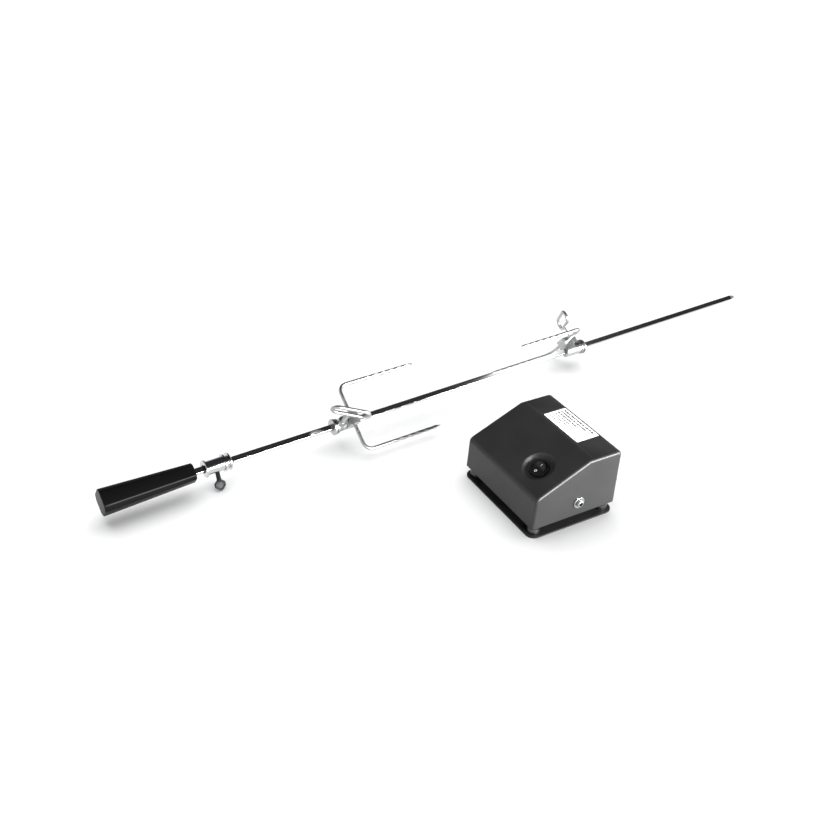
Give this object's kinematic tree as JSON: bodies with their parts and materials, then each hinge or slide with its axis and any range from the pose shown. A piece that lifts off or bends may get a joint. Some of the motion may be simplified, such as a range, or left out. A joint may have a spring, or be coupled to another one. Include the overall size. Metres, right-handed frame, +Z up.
{
  "type": "rotisserie spit kit",
  "caption": "Grill rotisserie kit: a square spit with handle, collar and sliding forks, beside a battery motor unit on a black plate.",
  "frame": {"origin": "centre of the footprint, on the surface that the kit lies on", "axes": "+X along the motor unit's width and nearly along the spit (the spit lies 4.1 degrees off), +Z up"},
  "size_m": [0.9666, 0.3252, 0.0796],
  "materials": {
    "moulded_shell": "fine spark-eroded texture, charcoal",
    "black_plate": "black powder coat",
    "chromed_steel": "bright plated",
    "dark_cast_metal": "dark cast, satin",
    "gloss_black": "polished moulding",
    "label_paper": "printed film label",
    "gear_nylon": "natural nylon",
    "brass": "stamped and turned",
    "cell_wrap": "plain wrapped cell",
    "plated_steel": "zinc plated"
  },
  "bodies": {
    "motor_unit": {"back_plate": "black_plate", "battery_cradle": "moulded_shell", "cell_1": "cell_wrap", "cell_2": "cell_wrap", "contact_plate": "brass", "contact_spring": "plated_steel", "cover_screw_back": "plated_steel", "cover_screw_front": "plated_steel", "cover_washer_back": "plated_steel", "cover_washer_front": "plated_steel", "first_axle": "plated_steel", "gearbox_lower_plate": "plated_steel", "gearbox_pillar_1": "plated_steel", "gearbox_pillar_2": "plated_steel", "gearbox_pillar_3": "plated_steel", "gearbox_pillar_4": "plated_steel", "gearbox_screw_1": "plated_steel", "gearbox_screw_2": "plated_steel", "gearbox_screw_3": "plated_steel", "gearbox_upper_plate": "plated_steel", "housing": "moulded_shell", "hub_bush": "brass", "motor_can": "plated_steel", "motor_end_cap": "moulded_shell", "motor_magnet_1": "dark_cast_metal", "motor_magnet_2": "dark_cast_metal", "plate_screw_1": "plated_steel", "plate_screw_2": "plated_steel", "plate_screw_3": "plated_steel", "plate_screw_4": "plated_steel", "plate_spacer_1": "plated_steel", "plate_spacer_2": "plated_steel", "plate_spacer_3": "plated_steel", "plate_spacer_4": "plated_steel", "rating_label": "label_paper", "second_axle": "plated_steel", "switch_body": "gloss_black", "switch_terminal_1": "brass", "switch_terminal_2": "brass", "tray": "moulded_shell"},
    "battery_door": {"battery_door": "moulded_shell"},
    "rocker": {"switch_rocker": "gloss_black"},
    "output": {"output_gear": "gear_nylon"},
    "second_gear": {"second_gear": "gear_nylon"},
    "first_gear": {"first_gear": "gear_nylon"},
    "rotor": {"motor_rotor": "plated_steel"},
    "collar": {"collar": "chromed_steel"},
    "collar_screw": {"collar_screw": "dark_cast_metal"},
    "spit": {"spit_rod": "chromed_steel", "spit_handle": "gloss_black"},
    "fork_1": {"fork_1_body": "chromed_steel", "fork_1_wire": "chromed_steel"},
    "fork_1_screw": {"fork_1_screw": "chromed_steel"},
    "fork_2": {"fork_2_body": "chromed_steel", "fork_2_wire": "chromed_steel"},
    "fork_2_screw": {"fork_2_screw": "chromed_steel"}
  },
  "joints": [
    {"name": "battery_door_slide", "type": "slide", "parent": "motor_unit", "child": "battery_door", "axis": [1, 0, 0], "range_m": [0, 0.03]},
    {"name": "switch_rock", "type": "hinge", "parent": "motor_unit", "child": "rocker", "pos_m": [-0.06666, -0.12154, 0.0569], "axis": [0, 1, 0], "range_deg": [0, 22]},
    {"name": "spit_lift", "type": "slide", "parent": "motor_unit", "child": "collar", "axis": [0, 0, 1], "range_m": [0, 0.15]},
    {"name": "spit_spin", "type": "hinge", "parent": "collar", "child": "spit", "pos_m": [-0.1871, 0.08596, 0.0271], "axis": [0.9974, 0.0715, 0], "continuous": true},
    {"name": "collar_screw_turn", "type": "hinge", "parent": "collar", "child": "collar_screw", "pos_m": [-0.35411, 0.06616, 0.00869], "axis": [0.0279, -0.3897, -0.9205], "range_deg": [-720, 90]},
    {"name": "fork_1_slide", "type": "slide", "parent": "spit", "child": "fork_1", "axis": [0.9974, 0.0715, 0], "range_m": [-0.09, 0.1]},
    {"name": "fork_2_slide", "type": "slide", "parent": "spit", "child": "fork_2", "axis": [0.9974, 0.0715, 0], "range_m": [-0.1, 0.24]},
    {"name": "fork_1_screw_turn", "type": "hinge", "parent": "fork_1", "child": "fork_1_screw", "pos_m": [-0.19919, 0.07275, 0.04286], "axis": [0.044, -0.6141, 0.788], "range_deg": [-720, 90]},
    {"name": "fork_2_screw_turn", "type": "hinge", "parent": "fork_2", "child": "fork_2_screw", "pos_m": [0.16786, 0.12721, 0.03941], "axis": [-0.0563, 0.786, 0.6157], "range_deg": [-720, 90]},
    {"name": "output_spin", "type": "hinge", "parent": "motor_unit", "child": "output", "pos_m": [-0.0421, -0.09404, 0.025], "axis": [0, 0, 1], "continuous": true},
    {"name": "second_gear_spin", "type": "hinge", "parent": "motor_unit", "child": "second_gear", "pos_m": [-0.03705, -0.11287, 0.025], "axis": [0, 0, 1], "continuous": true},
    {"name": "first_gear_spin", "type": "hinge", "parent": "motor_unit", "child": "first_gear", "pos_m": [-0.03705, -0.12757, 0.025], "axis": [0, 0, 1], "continuous": true},
    {"name": "rotor_spin", "type": "hinge", "parent": "motor_unit", "child": "rotor", "pos_m": [-0.0297, -0.1403, 0.025], "axis": [0, 0, 1], "continuous": true}
  ],
  "couplings": [
    {"joint": "output_spin", "follows": "spit_spin", "ratio": 1},
    {"joint": "second_gear_spin", "follows": "spit_spin", "ratio": -5},
    {"joint": "first_gear_spin", "follows": "spit_spin", "ratio": 25},
    {"joint": "rotor_spin", "follows": "spit_spin", "ratio": -125}
  ]
}
